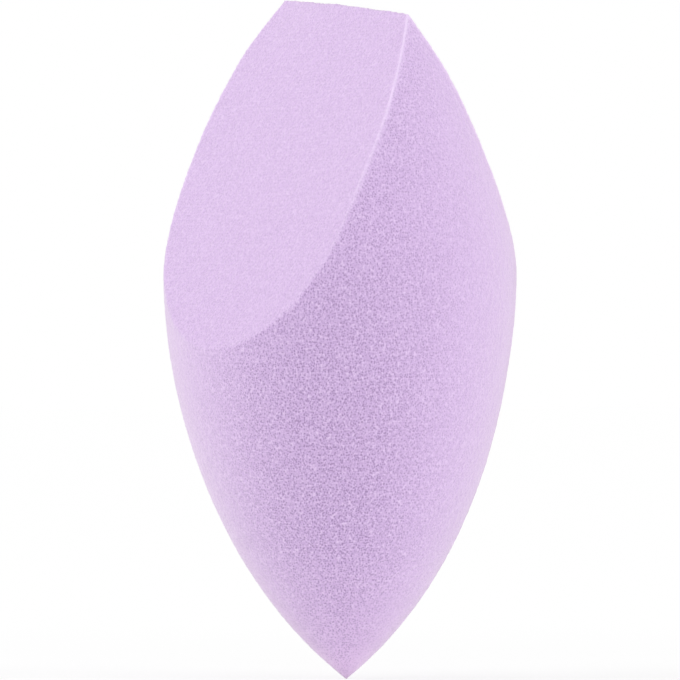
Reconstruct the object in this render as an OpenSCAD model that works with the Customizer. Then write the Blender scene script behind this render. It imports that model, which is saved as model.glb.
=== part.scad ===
// A makeup sponge for blending: one block of soft foam in the shape of an egg
// that runs down to a point, with two flat cuts that meet in a straight ridge
// at the top. The origin is the point, +Z runs up the body's axis, and the
// front cut faces -Y.

/* [Egg] */
// Radius of the body at its belly, where it is widest
belly_r = 17.65; // [15:0.05:21]
// Height of the belly above the point
belly_h = 40.5; // [34:0.1:48]
// Height at which the egg would close if its crown were not cut away
crown_h = 78; // [76:0.5:96]

/* [Curves] */
// How far out the lower curve heads from the point, as a share of the belly's radius
tip_out_share = 0.84; // [0.5:0.01:1]
// How far up the lower curve heads from the point, as a share of the belly's height
tip_up_share = 0.29; // [0.1:0.01:0.5]
// How long the lower curve runs upright under the belly, as a share of the belly's height
under_belly_share = 0.21; // [0.05:0.01:0.5]
// How long the crown's curve runs upright over the belly, as a share of the crown's height
over_belly_share = 0.24; // [0.05:0.01:0.5]
// How wide the crown's curve is drawn at the top, as a share of the belly's radius
crown_out_share = 0.51; // [0.2:0.01:0.8]

/* [Cuts] */
// Height of the ridge above the point, measured on the axis
ridge_h = 67.4; // [58:0.1:74]
// Angle between the front cut and the axis
front_lean = 26.5; // [20:0.5:34]
// Angle between the back cut and the axis
back_lean = 29; // [20:0.5:34]
// Angle by which the back cut is turned from square, which tilts the ridge
back_turn = 5; // [-10:0.5:10]

/* [Finish] */
// Colour of the foam
foam_colour = "#e0c6f0"; // ["#e0c6f0":Lilac, "#f4c6d2":Pink, "#c9dcf2":Sky]
// Number of straight pieces in each of the outline's two curves
curve_steps = 36; // [16:2:60]
// Number of flats that stand for the round body
smoothness = 240; // [90:10:360]

/* [Hidden] */

// The two curves of the outline as [radius, height]: first each curve's start, then
// the two points that it is drawn toward, then its end. Both are upright at the belly.
lower_curve = [
    [0, 0],
    [tip_out_share * belly_r, tip_up_share * belly_h],
    [belly_r, belly_h - under_belly_share * belly_h],
    [belly_r, belly_h]];
crown_curve = [
    [belly_r, belly_h],
    [belly_r, belly_h + over_belly_share * (crown_h - belly_h)],
    [crown_out_share * belly_r, crown_h],
    [0, crown_h]];

// The cutting blocks reach past the egg on every side
cut_reach = 2 * crown_h;

// The point at share t of the way along a cubic curve
function on_curve(p, t) =
    let (s = 1 - t)
    s * s * s * p[0] + 3 * s * s * t * p[1] + 3 * s * t * t * p[2] + t * t * t * p[3];

module egg_outline() {
    polygon(concat(
        [for (i = [0:curve_steps - 1]) on_curve(lower_curve, i / curve_steps)],
        [for (i = [0:curve_steps]) on_curve(crown_curve, i / curve_steps)]));
}

// A block whose near side is a plane through the ridge, leaning out from the axis
module cutting_block(lean, turn) {
    translate([0, 0, ridge_h])
        rotate([-lean, 0, turn])
            translate([-cut_reach / 2, -cut_reach, -cut_reach])
                cube([cut_reach, cut_reach, 2 * cut_reach]);
}

module foam_body() {
    color(foam_colour)
        difference() {
            rotate_extrude($fn = smoothness) egg_outline();
            cutting_block(front_lean, 0);
            cutting_block(back_lean, 180 - back_turn);
        }
}

foam_body();
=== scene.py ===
import bpy
import math
import time
import numpy as np
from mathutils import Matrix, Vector, kdtree


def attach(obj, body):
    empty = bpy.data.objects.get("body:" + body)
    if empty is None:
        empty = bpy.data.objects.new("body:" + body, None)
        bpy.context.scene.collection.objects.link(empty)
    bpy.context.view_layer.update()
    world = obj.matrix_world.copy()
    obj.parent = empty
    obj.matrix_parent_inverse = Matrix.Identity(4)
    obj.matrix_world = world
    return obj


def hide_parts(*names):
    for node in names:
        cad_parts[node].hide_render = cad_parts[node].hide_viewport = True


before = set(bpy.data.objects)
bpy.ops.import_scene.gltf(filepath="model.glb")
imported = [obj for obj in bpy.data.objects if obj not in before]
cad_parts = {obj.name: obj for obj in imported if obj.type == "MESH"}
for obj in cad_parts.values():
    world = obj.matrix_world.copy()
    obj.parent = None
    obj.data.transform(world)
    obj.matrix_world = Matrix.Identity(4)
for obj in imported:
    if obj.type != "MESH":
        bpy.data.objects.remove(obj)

started = time.time()
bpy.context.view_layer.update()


def tell(stage):
    print(f"{stage}, {time.time() - started:.1f} s")


tell("frame loaded")

# the view that matches the photo: level with the sponge, from a metre off
photoView = {
    "turn": 48.2,      # degrees round the sponge, from the front cut
    "distance": 1.0,   # metres from the sponge's axis
    "height": 0.0339,  # how far up the axis the lens points
    "width": 0.068,    # how much of the axis plane the square picture shows
}


def pickNothing():
    if bpy.context.object and bpy.context.object.mode != "OBJECT":
        bpy.ops.object.mode_set(mode="OBJECT")
    bpy.ops.object.select_all(action="DESELECT")


def takeUp(piece):
    pickNothing()
    piece.select_set(True)
    bpy.context.view_layer.objects.active = piece


def smoothValue(table, x):
    # a soft curve through (x, value) pairs
    if x <= table[0][0]:
        return table[0][1]
    for (x0, v0), (x1, v1) in zip(table, table[1:]):
        if x <= x1:
            t = (x - x0) / (x1 - x0)
            return v0 + (v1 - v0) * t * t * (3 - 2 * t)
    return table[-1][1]


def curve(table, x):
    # the same curve for a whole array
    out = np.full(len(x), float(table[0][1]))
    for (x0, v0), (x1, v1) in zip(table, table[1:]):
        t = np.clip((x - x0) / (x1 - x0), 0, 1)
        out += (v1 - v0) * t * t * (3 - 2 * t)
    return out


# the egg, drawn with the same numbers as the part
egg = {
    "bellyRadius": 0.01765, "bellyHeight": 0.0405, "crownHeight": 0.078,
    "tipOut": 0.84, "tipUp": 0.29, "underBelly": 0.21,
    "overBelly": 0.24, "crownOut": 0.51,
    "curvePieces": 48,   # straight pieces in each of the two curves
    "turnPieces": 256,   # pieces round the axis
    "weld": 1e-6,        # points nearer than this become one
}


def drawOutline():
    # half of the egg's outline as one curve, from the point over the belly to the crown
    r, h, top = egg["bellyRadius"], egg["bellyHeight"], egg["crownHeight"]
    pickNothing()
    bpy.ops.curve.primitive_bezier_curve_add(radius=1, location=(0, 0, 0))
    outline = bpy.context.object
    outline.name = "foamSponge"
    outline.data.dimensions = "3D"
    outline.data.resolution_u = egg["curvePieces"]
    line = outline.data.splines[0]
    line.bezier_points.add(1)
    knots = [
        ((0, 0, 0), (0, 0, 0), (egg["tipOut"] * r, 0, egg["tipUp"] * h)),
        ((r, 0, h), (r, 0, h - egg["underBelly"] * h), (r, 0, h + egg["overBelly"] * (top - h))),
        ((0, 0, top), (egg["crownOut"] * r, 0, top), (0, 0, top)),
    ]
    for knot, (place, back, ahead) in zip(line.bezier_points, knots):
        knot.handle_left_type = knot.handle_right_type = "FREE"
        knot.co, knot.handle_left, knot.handle_right = place, back, ahead
    takeUp(outline)
    bpy.ops.object.convert(target="MESH")
    return bpy.context.object


def spinEgg(outline):
    takeUp(outline)
    bpy.ops.object.mode_set(mode="EDIT")
    bpy.ops.mesh.select_all(action="SELECT")
    bpy.ops.mesh.spin(steps=egg["turnPieces"], angle=math.radians(360),
                      center=(0, 0, 0), axis=(0, 0, 1))
    bpy.ops.mesh.select_all(action="SELECT")
    bpy.ops.mesh.remove_doubles(threshold=egg["weld"])
    bpy.ops.mesh.normals_make_consistent(inside=False)
    bpy.ops.object.mode_set(mode="OBJECT")
    tell("egg spun")
    return outline


# the two knife cuts. A blade bends a little in foam, so each cut bulges or dips by
# fractions of a millimetre on its way down from the ridge
cuts = {
    "ridgeHeight": 0.0674,
    "bladeWidth": 0.07, "bladeDepth": 0.04, "rows": 56, "columns": 4,
    "bladeOver": 0.015,   # metres of blade above the ridge
    # mm along the ridge, mm out
    "arch": [(-35, 0), (-17.5, 0), (0, .1), (17.5, -.24), (35, -.27)],
    "archReach": 4,       # mm down over which the arch fades
    # lean and turn in degrees; side is 1 or -1, so that one arch serves both cuts
    # bow: mm down, mm out. twist: mm down, mm out for each mm along
    "front": {
        "lean": 26.5, "turn": 0.0, "side": 1,
        "bow": [(0, 0), (5, .06), (10, .15), (15, .22), (20, .22),
                (23, .17), (27, .02), (33, -.05), (38, -.06), (44, 0)],
        "twist": [(12, 0), (21, .008), (27, 0), (35, -.02), (44, -.02)],
    },
    "back": {
        "lean": 29.0, "turn": 175.0, "side": -1,
        "bow": [(0, -.08), (3, 0), (5.5, .14), (8, .24), (11, .16),
                (14, -.04), (18, -.26), (24, -.42), (30, -.45), (40, -.3)],
        "twist": [(0, 0), (44, 0)],
    },
}


def bladeBlock(name, cut):
    # a sheet in the cut, bowed row by row, then given depth outwards
    width = cuts["bladeWidth"]
    pickNothing()
    bpy.ops.mesh.primitive_grid_add(x_subdivisions=cuts["columns"], y_subdivisions=cuts["rows"],
                                    size=width, location=(0, 0, 0))
    blade = bpy.context.object
    blade.name = name
    bpy.ops.object.mode_set(mode="EDIT")
    bpy.ops.mesh.select_all(action="SELECT")
    bpy.ops.transform.translate(value=(0, cuts["bladeOver"] - width / 2, 0))
    bpy.ops.object.mode_set(mode="OBJECT")
    for point in blade.data.vertices:
        down = -point.co.y * 1000
        along = point.co.x * 1000
        archShare = max(0, 1 - max(down, 0) / cuts["archReach"])
        out = smoothValue(cut["bow"], down) + smoothValue(cut["twist"], down) * along
        out += smoothValue(cuts["arch"], along * cut["side"]) * archShare
        point.co.z += out / 1000
    bpy.ops.object.mode_set(mode="EDIT")
    bpy.ops.mesh.select_all(action="SELECT")
    bpy.ops.mesh.extrude_region_move(TRANSFORM_OT_translate={"value": (0, 0, cuts["bladeDepth"])})
    bpy.ops.mesh.select_all(action="SELECT")
    bpy.ops.mesh.normals_make_consistent(inside=False)
    bpy.ops.object.mode_set(mode="OBJECT")
    blade.rotation_euler = (math.radians(90 - cut["lean"]), 0, math.radians(cut["turn"]))
    blade.location = (0, 0, cuts["ridgeHeight"])
    bpy.ops.object.transform_apply(location=True, rotation=True, scale=True)
    return blade


def cutEgg(sponge):
    for name in ("front", "back"):
        blade = bladeBlock(name + "Blade", cuts[name])
        takeUp(sponge)
        cut = sponge.modifiers.new("cut", "BOOLEAN")
        cut.operation, cut.solver, cut.object = "DIFFERENCE", "EXACT", blade
        bpy.ops.object.modifier_apply(modifier=cut.name)
        bpy.data.objects.remove(blade)
        tell(name + " cut made")
    return sponge


outline = drawOutline()
outlineOut = np.array([point.co.x for point in outline.data.vertices])
outlineUp = np.array([point.co.z for point in outline.data.vertices])
sponge = cutEgg(spinEgg(outline))

# how the cuts' edges are found, and how the skin is told apart by them
edgeFinder = {
    "sharp": 14,            # degrees between two faces that make an edge
    "lowest": 0.02,         # metres up; the cuts have no edge below this
    "apart": 0.00005,       # metres from one spot on an edge to the next
    "ridgeUnder": 0.0004,   # a spot further under the egg's own skin is on the ridge
    "searchAbove": 0.028,   # metres up; all skin below this counts as far from the edges
    "far": 0.01,            # how far that is, in metres
    # a point is on a cut if it lies more than this share of its gap under the egg's own skin
    "faceShare": 0.2,
}


def eggGap(xyz):
    # how deep a place lies under the egg's own skin
    return np.interp(xyz[:, 2], outlineUp, outlineOut) - np.hypot(xyz[:, 0], xyz[:, 1])


def edgeTree(sponge):
    # spots along the cuts' sharp edges, to tell later how near the edge a point is
    takeUp(sponge)
    bpy.ops.object.mode_set(mode="EDIT")
    bpy.context.tool_settings.mesh_select_mode = (False, True, False)
    bpy.ops.mesh.select_all(action="DESELECT")
    bpy.ops.mesh.edges_select_sharp(sharpness=math.radians(edgeFinder["sharp"]))
    bpy.ops.object.mode_set(mode="OBJECT")
    spots = []
    for edge in sponge.data.edges:
        if edge.select:
            a, b = (sponge.data.vertices[i].co for i in edge.vertices)
            if min(a.z, b.z) < edgeFinder["lowest"]:
                continue
            n = max(1, int((b - a).length / edgeFinder["apart"]))
            spots += [a.lerp(b, k / n) for k in range(n + 1)]
    tree = kdtree.KDTree(len(spots))
    for i, spot in enumerate(spots):
        tree.insert(spot, i)
    tree.balance()
    tell(f"{len(spots)} spots along the edges")
    return tree, eggGap(np.array(spots)) > edgeFinder["ridgeUnder"]


edges, onRidge = edgeTree(sponge)

# the block of foam: one even skin, soft at the edges, that sags a little to one side
block = {
    # the skin's grid is 2 to the power of grain squares long, and the sponge's share is spread
    "grain": 9, "spread": 0.783,
    # metres from a cut's edge within which the foam is worn round and free of cells
    "edgeBand": 0.00035, "edgePasses": 3, "edgeWear": 0.5,
    # the ridge's outer corner is pinched in a little, the same way as the slump
    "cornerAt": (-0.0097, 0.0004, 0.0682), "pinch": 0.00058, "pinchReach": 0.0075,
    # the same corner is worn round, fully where its share times cornerGain reaches 1
    "cornerReach": 0.0014, "cornerPasses": 12, "cornerWear": 0.5, "cornerGain": 1.6,
    "cornerAbove": 0.065,   # metres up, below which no skin is near the corner
    "evenPasses": 1, "evenWear": 0.4,
    # mm up, mm over
    "slump": [(0, .63), (6.7, .5), (12.4, .36), (18.9, .23), (24.9, .1), (30, 0)],
    "slumpWay": 48.2,       # the side that pinch and slump go to, in degrees from +X
    "cageHeight": 0.033, "cageWidth": 0.04, "cageLevels": 12,
}


def places(sponge):
    xyz = np.empty(len(sponge.data.vertices) * 3, dtype=np.float32)
    sponge.data.vertices.foreach_get("co", xyz)
    return xyz.reshape(-1, 3)


# for each point of the skin: how far the nearest edge is, whether that is the ridge,
# how deep the point lies under the egg's own skin, and whether it is on a cut
skinMarks = {}


def markEdges(sponge):
    at = places(sponge)
    gap = np.full(len(at), edgeFinder["far"])
    ridge = np.zeros(len(at), bool)
    for i in np.nonzero(at[:, 2] > edgeFinder["searchAbove"])[0]:
        spot, which, gap[i] = edges.find(at[i])
        ridge[i] = onRidge[which]
    inside = eggGap(at)
    skinMarks["gap"], skinMarks["ridge"], skinMarks["inside"] = gap, ridge, inside
    skinMarks["onFace"] = inside > edgeFinder["faceShare"] * gap
    tell("edges marked")


def layEvenSkin(sponge):
    takeUp(sponge)
    skin = sponge.modifiers.new("skin", "REMESH")
    skin.mode, skin.octree_depth, skin.scale = "SHARP", block["grain"], block["spread"]
    bpy.ops.object.modifier_apply(modifier=skin.name)
    tell(f"skin of {len(sponge.data.vertices)} points")


def wear(sponge, group, passes, factor):
    # with no group, the whole skin is worn
    wearing = sponge.modifiers.new("wear", "SMOOTH")
    wearing.vertex_group, wearing.iterations, wearing.factor = group, passes, factor
    bpy.ops.object.modifier_apply(modifier=wearing.name)


def wearEdges(sponge):
    gap, reach = skinMarks["gap"], block["edgeBand"]
    band = sponge.vertex_groups.new(name="edgeBand")
    for i in np.nonzero(gap < reach)[0]:
        band.add([int(i)], 1 - gap[i] / reach, "REPLACE")
    wear(sponge, "edgeBand", block["edgePasses"], block["edgeWear"])


def pinchCorner(sponge):
    # gives the place that the corner has moved to
    way, pinch = math.radians(block["slumpWay"]), block["pinch"]
    at = Vector(block["cornerAt"])
    bpy.ops.object.mode_set(mode="EDIT")
    bpy.context.tool_settings.mesh_select_mode = (True, False, False)
    bpy.ops.mesh.select_all(action="DESELECT")
    bpy.ops.object.mode_set(mode="OBJECT")
    min(sponge.data.vertices, key=lambda point: (point.co - at).length).select = True
    bpy.ops.object.mode_set(mode="EDIT")
    bpy.ops.transform.translate(
        value=(pinch * math.cos(way), pinch * math.sin(way), 0), use_proportional_edit=True,
        proportional_edit_falloff="SMOOTH", proportional_size=block["pinchReach"])
    bpy.ops.object.mode_set(mode="OBJECT")
    tell("corner pinched")
    return at + Vector((math.cos(way), math.sin(way), 0)) * pinch


def wearCorner(sponge, at):
    corner = sponge.vertex_groups.new(name="corner")
    for point in sponge.data.vertices:
        if point.co.z > block["cornerAbove"]:
            share = 1 - (point.co - at).length / block["cornerReach"]
            if share > 0:
                corner.add([point.index], min(1, block["cornerGain"] * share), "REPLACE")
    wear(sponge, "corner", block["cornerPasses"], block["cornerWear"])
    tell("corner worn")


def slump(sponge):
    # a cage round the lower half, pushed over a little more at each level down
    top, width, levels = block["cageHeight"], block["cageWidth"], block["cageLevels"]
    pickNothing()
    bpy.ops.object.add(type="LATTICE", location=(0, 0, top / 2))
    cage = bpy.context.object
    cage.scale = (width, width, top)
    cage.data.points_u, cage.data.points_v, cage.data.points_w = 2, 2, levels
    way = math.radians(block["slumpWay"])
    for i, point in enumerate(cage.data.points):
        level = i // 4   # four points to a level
        height = level / (levels - 1) * top * 1000
        over = smoothValue(block["slump"], height) / 1000 / width
        point.co_deform.x += over * math.cos(way)
        point.co_deform.y += over * math.sin(way)
    takeUp(sponge)
    lean = sponge.modifiers.new("slump", "LATTICE")
    lean.object = cage
    bpy.ops.object.modifier_apply(modifier=lean.name)
    bpy.data.objects.remove(cage)
    tell("slumped")


layEvenSkin(sponge)
markEdges(sponge)
wearEdges(sponge)
wearCorner(sponge, pinchCorner(sponge))
wear(sponge, "", block["evenPasses"], block["evenWear"])
sponge.vertex_groups.clear()
slump(sponge)

# open cells: pits between thin walls, crumbs on them, and slow waves in the skin
cells = {
    # metres across, metres deep, and the grey of the pattern that leaves the skin where it is
    "waves": ("CLOUDS", 0.0024, 0.00002, 0.5),
    "pits": ("VORONOI", 0.00045, 0.000075, 0.6),
    "crumbs": ("CLOUDS", 0.0003, 0.00003, 0.5),
    # mm up, and how deep the cells are pressed near the point
    "shallow": [(0, .35), (4, .55), (9, 1)],
    # painted light along the knife's thin edge, a pale line and a paler band beside it: mm up, then
    # mm of reach or a share
    "edgeLightReach": [(36, .4), (50, .44), (56, .36), (60, .29)],
    "edgeLightShare": [(38, .05), (41, .12), (44, .22), (49, .38),
                 (54, .6), (58.5, .8), (66, .85), (67.3, .4)],
    "glowShare": [(40, 0), (44, .15), (49, .5), (54, .45), (59, .47), (65, .42), (67.3, .25)],
    "glowReach": .6,       # mm on the moulded side of the edge
    "edgeLightWithin": 0.003,    # metres from the edge, further than any painted edge light reaches
    "farSide": 8,          # the two side marks of the painted edge light stay within this many reaches
    # metres under the egg's own skin where cut foam starts, over how many more it is
    # all cut, and the height below which no foam is cut
    "bareFrom": 0.00004, "bareOver": 0.0002, "bareAbove": 0.029,
    # the painted pore shade and tip highlights are strongest this many degrees round from +X; then,
    # for degrees off that, a share
    "poreShadeTurn": -48,
    "poreShadeRound": [(0, 1.08), (20, 1.0), (34, .84), (46, .65), (58, .49), (75, .38), (90, .34)],
    # mm up, share
    "poreShadeUp": [(0, .5), (4, .92), (13, 1.08), (29, .98), (37, .86), (44, .8), (60, .79)],
    # painted light at the very point: mm up, share
    "pointGlow": [(0, 1), (1.5, .85), (4, .4), (8, .18), (15, 0)],
}


def pressTexture(sponge, name):
    kind, size, depth, middle = cells[name]
    pattern = bpy.data.textures.new(name, kind)
    pattern.noise_scale = size
    if kind == "CLOUDS":
        pattern.noise_depth = 0
    press = sponge.modifiers.new(name, "DISPLACE")
    press.texture, press.texture_coords = pattern, "LOCAL"
    press.strength, press.mid_level, press.vertex_group = depth, middle, "open"
    takeUp(sponge)
    bpy.ops.object.modifier_apply(modifier=press.name)


def pressCells(sponge, up):
    # the worn edges stay free of cells, and near the point they are shallow
    gap, reach = skinMarks["gap"], block["edgeBand"]
    group = sponge.vertex_groups.new(name="open")
    group.add([int(i) for i in np.nonzero(gap >= reach)[0]], 1.0, "REPLACE")
    for i in np.nonzero(gap < reach)[0]:
        group.add([int(i)], (gap[i] / reach) ** 2, "REPLACE")
    depth = curve(cells["shallow"], up)
    for i in np.nonzero(depth < 1)[0]:
        group.add([int(i)], depth[i], "REPLACE")
    for name in ("waves", "pits", "crumbs"):
        pressTexture(sponge, name)
    sponge.vertex_groups.clear()
    tell("cells pressed")


def mark(sponge, name, values):
    layer = sponge.data.attributes.new(name, "FLOAT", "POINT")
    layer.data.foreach_set("value", values.astype(np.float32))


def markSkin(sponge, at, up):
    # painted light along the knife's thin edge, a pale line: 0 on the edge, 1 at its reach, less
    # than 0 on the moulded side
    gap, far = skinMarks["gap"], cells["farSide"]
    side = np.where(skinMarks["onFace"], 1, -1) * gap * 1000
    mark(sponge, "edgeLightSide", np.clip(side / curve(cells["edgeLightReach"], up), -far, far))
    mark(sponge, "glowSide", np.clip(side / cells["glowReach"], -far, far))
    plain = ~skinMarks["ridge"] & (gap < cells["edgeLightWithin"])
    mark(sponge, "edgeLightShare", curve(cells["edgeLightShare"], up) * plain)
    mark(sponge, "glowShare", curve(cells["glowShare"], up) * plain)
    # 1 where the skin was cut away, 0 where it is as moulded
    bare = np.clip((skinMarks["inside"] - cells["bareFrom"]) / cells["bareOver"], 0, 1)
    mark(sponge, "cutFace", bare * (at[:, 2] > cells["bareAbove"]))
    # how strongly the painted pore shade and tip highlights show, by turn round the axis and by
    # height; the back repeats the front
    turn = np.degrees(np.arctan2(at[:, 1], at[:, 0])) - cells["poreShadeTurn"]
    turn = np.abs((turn + 90) % 180 - 90)
    mark(sponge, "poreShadeShare", curve(cells["poreShadeRound"], turn) * curve(cells["poreShadeUp"], up))
    # painted light at the very point
    mark(sponge, "pointGlowShare", curve(cells["pointGlow"], up))
    tell("skin marked")


skinAt = places(sponge)
skinUp = skinAt[:, 2] * 1000
pressCells(sponge, skinUp)
markSkin(sponge, skinAt, skinUp)

foamLook = {
    # the dark colour is painted shade in the cells' pits; on the next line, a painted highlight on
    # the cell tips and painted light along the knife's thin edge
    "colour": (0.645, 0.438, 0.776), "poreShade": (0.33, 0.175, 0.46),
    "tipHighlight": (0.87, 0.69, 0.97), "edgeLight": (0.88, 0.70, 0.99),
    "pointGlow": (0.92, 0.67, 1.0),   # painted light at the very point, where light comes through
    "roughness": 0.95, "gloss": 0.1,
    "sheen": 0.83, "sheenRoughness": 0.7, "sheenTint": (1, 0.95, 0.96),
    "poreSize": 0.00023, "poreScatter": 0.8, "poreDepth": 0.00003,
    "poreStretch": (1.07, 1.07, 0.87),   # the cells are a little taller than wide
    "crumbsPerPore": 2.2, "crumbDetail": 1.0, "crumbShare": 1.4,
    # heights at which the painted pore shade starts and is full, and the same for the painted
    # highlight on a cell tip
    "poreRange": (1.15, 0.85), "tipRange": (1.28, 1.65),
    # how strongly the painted pore shade and tip highlights show on the moulded skin and on a cut
    "onMould": 0.85, "onCut": 0.4,
}


def fade(nodes, links, value, start, end):
    # 0 at start and 1 at end, softly
    ramp = nodes.new("ShaderNodeMapRange")
    ramp.interpolation_type = "SMOOTHSTEP"
    ramp.inputs["From Min"].default_value = start
    ramp.inputs["From Max"].default_value = end
    links.new(value, ramp.inputs["Value"])
    return ramp.outputs["Result"]


def times(nodes, links, a, b):
    # a is a socket; b is a socket or a number
    product = nodes.new("ShaderNodeMath")
    product.operation = "MULTIPLY"
    links.new(a, product.inputs[0])
    if isinstance(b, float):
        product.inputs[1].default_value = b
    else:
        links.new(b, product.inputs[1])
    return product.outputs[0]


def poreGroup():
    # open pores and cell tips, too fine for the mesh: two masks, for painted shade in the pores and
    # a painted highlight on the tips, and the height
    group = bpy.data.node_groups.new("foamPores", "ShaderNodeTree")
    for name, kind in (("Where", "NodeSocketVector"), ("Size", "NodeSocketFloat")):
        group.interface.new_socket(name=name, in_out="INPUT", socket_type=kind)
    for name in ("PoreShade", "TipHighlight", "Height"):
        group.interface.new_socket(name=name, in_out="OUTPUT", socket_type="NodeSocketFloat")
    nodes, links = group.nodes, group.links
    inward, outward = nodes.new("NodeGroupInput"), nodes.new("NodeGroupOutput")
    grid = nodes.new("ShaderNodeMath")
    grid.operation = "DIVIDE"
    grid.inputs[0].default_value = 1.0
    links.new(inward.outputs["Size"], grid.inputs[1])
    cellsAt = nodes.new("ShaderNodeTexVoronoi")
    links.new(inward.outputs["Where"], cellsAt.inputs["Vector"])
    links.new(grid.outputs[0], cellsAt.inputs["Scale"])
    cellsAt.inputs["Randomness"].default_value = foamLook["poreScatter"]
    crumbs = nodes.new("ShaderNodeTexNoise")
    crumbs.inputs["Detail"].default_value = foamLook["crumbDetail"]
    links.new(inward.outputs["Where"], crumbs.inputs["Vector"])
    links.new(times(nodes, links, grid.outputs[0], foamLook["crumbsPerPore"]),
              crumbs.inputs["Scale"])
    # the cell walls stand up, broken by crumbs
    height = nodes.new("ShaderNodeMath")
    height.operation = "MULTIPLY_ADD"
    height.inputs[1].default_value = foamLook["crumbShare"]
    links.new(crumbs.outputs["Fac"], height.inputs[0])
    links.new(cellsAt.outputs["Distance"], height.inputs[2])
    poreShade = fade(nodes, links, height.outputs[0], *foamLook["poreRange"])
    tipHighlight = fade(nodes, links, height.outputs[0], *foamLook["tipRange"])
    links.new(poreShade, outward.inputs["PoreShade"])
    links.new(tipHighlight, outward.inputs["TipHighlight"])
    links.new(height.outputs[0], outward.inputs["Height"])
    return group


def blendColour(nodes, links, share, under, over):
    # over is laid on under by share; under is a socket or a colour
    mix = nodes.new("ShaderNodeMix")
    mix.data_type = "RGBA"
    links.new(share, mix.inputs["Factor"])
    if isinstance(under, tuple):
        mix.inputs["A"].default_value = (*under, 1)
    else:
        links.new(under, mix.inputs["A"])
    mix.inputs["B"].default_value = (*over, 1)
    return mix.outputs["Result"]


def edgeLightMask(nodes, links, marks):
    # painted light along the knife's thin edge: a pale line on the edge, and a paler band on the
    # moulded side
    away = nodes.new("ShaderNodeMath")
    away.operation = "ABSOLUTE"
    links.new(marks["edgeLightSide"], away.inputs[0])
    line = times(nodes, links, fade(nodes, links, away.outputs[0], 1, 0), marks["edgeLightShare"])
    band = times(nodes, links, fade(nodes, links, marks["glowSide"], -1, 0),
                 fade(nodes, links, marks["edgeLightSide"], 1, 0))
    band = times(nodes, links, band, marks["glowShare"])
    both = nodes.new("ShaderNodeMath")
    both.operation = "MAXIMUM"
    links.new(line, both.inputs[0])
    links.new(band, both.inputs[1])
    return both.outputs[0]


def skinMask(nodes, name):
    # what the skin was marked with under this name
    reader = nodes.new("ShaderNodeAttribute")
    reader.attribute_name = name
    return reader.outputs["Fac"]


def lilacFoam():
    finish = bpy.data.materials.new("lilacFoam")
    finish.use_nodes = True
    nodes, links = finish.node_tree.nodes, finish.node_tree.links
    shader = nodes["Principled BSDF"]
    shader.inputs["Roughness"].default_value = foamLook["roughness"]
    shader.inputs["Specular IOR Level"].default_value = foamLook["gloss"]
    shader.inputs["Sheen Weight"].default_value = foamLook["sheen"]
    shader.inputs["Sheen Roughness"].default_value = foamLook["sheenRoughness"]
    shader.inputs["Sheen Tint"].default_value = (*foamLook["sheenTint"], 1)
    marks = {name: skinMask(nodes, name) for name in (
        "edgeLightSide", "edgeLightShare", "glowSide", "glowShare", "cutFace", "poreShadeShare", "pointGlowShare")}
    where = nodes.new("ShaderNodeTexCoord")
    stretch = nodes.new("ShaderNodeMapping")
    stretch.inputs["Scale"].default_value = foamLook["poreStretch"]
    links.new(where.outputs["Object"], stretch.inputs["Vector"])
    pores = nodes.new("ShaderNodeGroup")
    pores.node_tree = poreGroup()
    pores.inputs["Size"].default_value = foamLook["poreSize"]
    links.new(stretch.outputs["Vector"], pores.inputs["Where"])
    # how strongly the painted pore shade and tip highlights show
    clear = nodes.new("ShaderNodeMapRange")
    clear.inputs["To Max"].default_value = foamLook["onCut"]
    links.new(times(nodes, links, marks["poreShadeShare"], foamLook["onMould"]), clear.inputs["To Min"])
    links.new(marks["cutFace"], clear.inputs["Value"])
    # painted shade in the pores and a painted highlight on the cell tips
    poreShadeMask = times(nodes, links, pores.outputs["PoreShade"], clear.outputs["Result"])
    tipHighlightMask = times(nodes, links, pores.outputs["TipHighlight"], clear.outputs["Result"])
    # painted light along the knife's thin edge
    edgeLight = edgeLightMask(nodes, links, marks)
    # painted light at the very point
    colour = blendColour(nodes, links, marks["pointGlowShare"], foamLook["colour"], foamLook["pointGlow"])
    colour = blendColour(nodes, links, poreShadeMask, colour, foamLook["poreShade"])
    colour = blendColour(nodes, links, tipHighlightMask, colour, foamLook["tipHighlight"])
    colour = blendColour(nodes, links, edgeLight, colour, foamLook["edgeLight"])
    links.new(colour, shader.inputs["Base Color"])
    bump = nodes.new("ShaderNodeBump")
    bump.inputs["Distance"].default_value = foamLook["poreDepth"]
    links.new(pores.outputs["Height"], bump.inputs["Height"])
    links.new(bump.outputs["Normal"], shader.inputs["Normal"])
    return finish


sponge.data.materials.clear()
sponge.data.materials.append(lilacFoam())
takeUp(sponge)
bpy.ops.object.shade_smooth()
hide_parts("foam_body")
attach(sponge, "root")
tell("foam finished")

studio = {
    "floorSize": 6, "floorWhite": 0.95, "floorRoughness": 0.9,
    "surround": 0.3,    # how strongly the white world lights the scene
    # the paper keeps the sponge's shadow near its foot and glows white further out:
    # metres out, share
    "glowFrom": (0.05, 0.8), "glowTo": (0.2, 0.997),
    "lampFar": 0.9, "lampSize": 0.6,
    "lampAim": 0.035,   # how far up the axis the lamps point
    # degrees round from the camera, degrees up, watts
    "lamps": {
        "leftBack": (-100, 40, 2.05), "leftBackLow": (-100, 0, 0.27), "leftSide": (-65, 40, 2.65),
        "rightBack": (100, 0, 2.5), "rightBackHigh": (100, 40, 0.3),
        "rightSide": (65, 0, 1.75), "rightSideHigh": (65, 40, 1.95),
        "overhead": (0, 85, 1.35), "frontFill": (0, 40, 0.75),
    },
}


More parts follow.
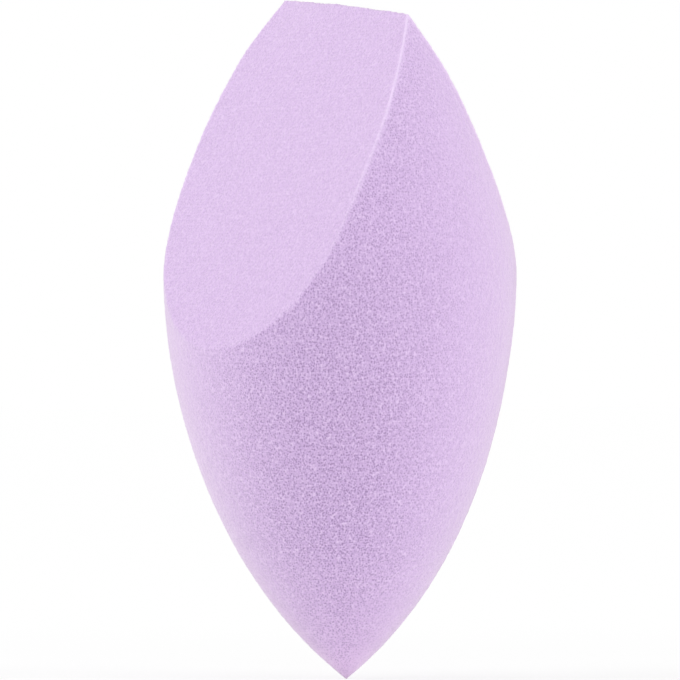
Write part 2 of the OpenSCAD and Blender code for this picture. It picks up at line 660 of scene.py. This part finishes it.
def seenRays(nodes, links):
    # 1 for the rays that reach the eye straight, off gloss or through glass
    rays = nodes.new("ShaderNodeLightPath")
    first, second = nodes.new("ShaderNodeMath"), nodes.new("ShaderNodeMath")
    first.operation = second.operation = "MAXIMUM"
    links.new(rays.outputs["Is Camera Ray"], first.inputs[0])
    links.new(rays.outputs["Is Glossy Ray"], first.inputs[1])
    links.new(first.outputs[0], second.inputs[0])
    links.new(rays.outputs["Is Transmission Ray"], second.inputs[1])
    return second.outputs[0]


def paperGlow(nodes, links):
    # how much of the paper's look is glow, by how far out from the sponge's foot it is
    where = nodes.new("ShaderNodeTexCoord")
    out = nodes.new("ShaderNodeVectorMath")
    out.operation = "LENGTH"
    links.new(where.outputs["Object"], out.inputs[0])
    share = nodes.new("ShaderNodeMapRange")
    share.interpolation_type = "SMOOTHSTEP"
    share.inputs["From Min"].default_value, share.inputs["To Min"].default_value = studio["glowFrom"]
    share.inputs["From Max"].default_value, share.inputs["To Max"].default_value = studio["glowTo"]
    links.new(out.outputs["Value"], share.inputs["Value"])
    return share.outputs["Result"]


def layFloor():
    pickNothing()
    bpy.ops.mesh.primitive_plane_add(size=studio["floorSize"], location=(0, 0, 0))
    floor = bpy.context.object
    floor.name = "studioFloor"
    paper = bpy.data.materials.new("whitePaper")
    paper.use_nodes = True
    nodes, links = paper.node_tree.nodes, paper.node_tree.links
    shader = nodes["Principled BSDF"]
    white = studio["floorWhite"]
    shader.inputs["Base Color"].default_value = (white, white, white, 1)
    shader.inputs["Roughness"].default_value = studio["floorRoughness"]
    shader.inputs["Specular IOR Level"].default_value = 0.0
    glow = nodes.new("ShaderNodeEmission")
    mixed = nodes.new("ShaderNodeMixShader")
    share = times(nodes, links, seenRays(nodes, links), paperGlow(nodes, links))
    links.new(share, mixed.inputs["Fac"])
    links.new(shader.outputs[0], mixed.inputs[1])
    links.new(glow.outputs[0], mixed.inputs[2])
    links.new(mixed.outputs[0], nodes["Material Output"].inputs["Surface"])
    floor.data.materials.append(paper)


def hangLamps():
    # soft panels round the sponge, each turned to it
    aim = Vector((0, 0, studio["lampAim"]))
    for name, (turn, rise, watts) in studio["lamps"].items():
        a, e = math.radians(photoView["turn"] + turn), math.radians(rise)
        way = Vector((math.sin(a) * math.cos(e), -math.cos(a) * math.cos(e), math.sin(e)))
        pickNothing()
        bpy.ops.object.light_add(type="AREA", location=aim + way * studio["lampFar"])
        lamp = bpy.context.object
        lamp.name = name
        lamp.rotation_euler = way.to_track_quat("Z", "Y").to_euler()
        lamp.data.shape, lamp.data.size, lamp.data.energy = "DISK", studio["lampSize"], watts


def setWorld():
    world = bpy.data.worlds.new("studio")
    bpy.context.scene.world = world
    world.use_nodes = True
    nodes, links = world.node_tree.nodes, world.node_tree.links
    sky = nodes["Background"]
    sky.inputs["Color"].default_value = (1, 1, 1, 1)
    level = nodes.new("ShaderNodeMapRange")
    level.inputs["To Min"].default_value = studio["surround"]
    level.inputs["To Max"].default_value = 1.0
    links.new(seenRays(nodes, links), level.inputs["Value"])
    links.new(level.outputs["Result"], sky.inputs["Strength"])


def setCamera():
    a = math.radians(photoView["turn"])
    back = Vector((math.sin(a), -math.cos(a), 0)) * photoView["distance"]
    pickNothing()
    bpy.ops.object.camera_add(location=back + Vector((0, 0, photoView["height"])),
                              rotation=(math.radians(90), 0, a))
    camera = bpy.context.object
    camera.name = "photoCamera"
    camera.data.angle = 2 * math.atan(photoView["width"] / 2 / photoView["distance"])
    bpy.context.scene.camera = camera


layFloor()
hangLamps()
setWorld()
setCamera()
bpy.context.scene.view_settings.view_transform = "Standard"
tell("studio set")
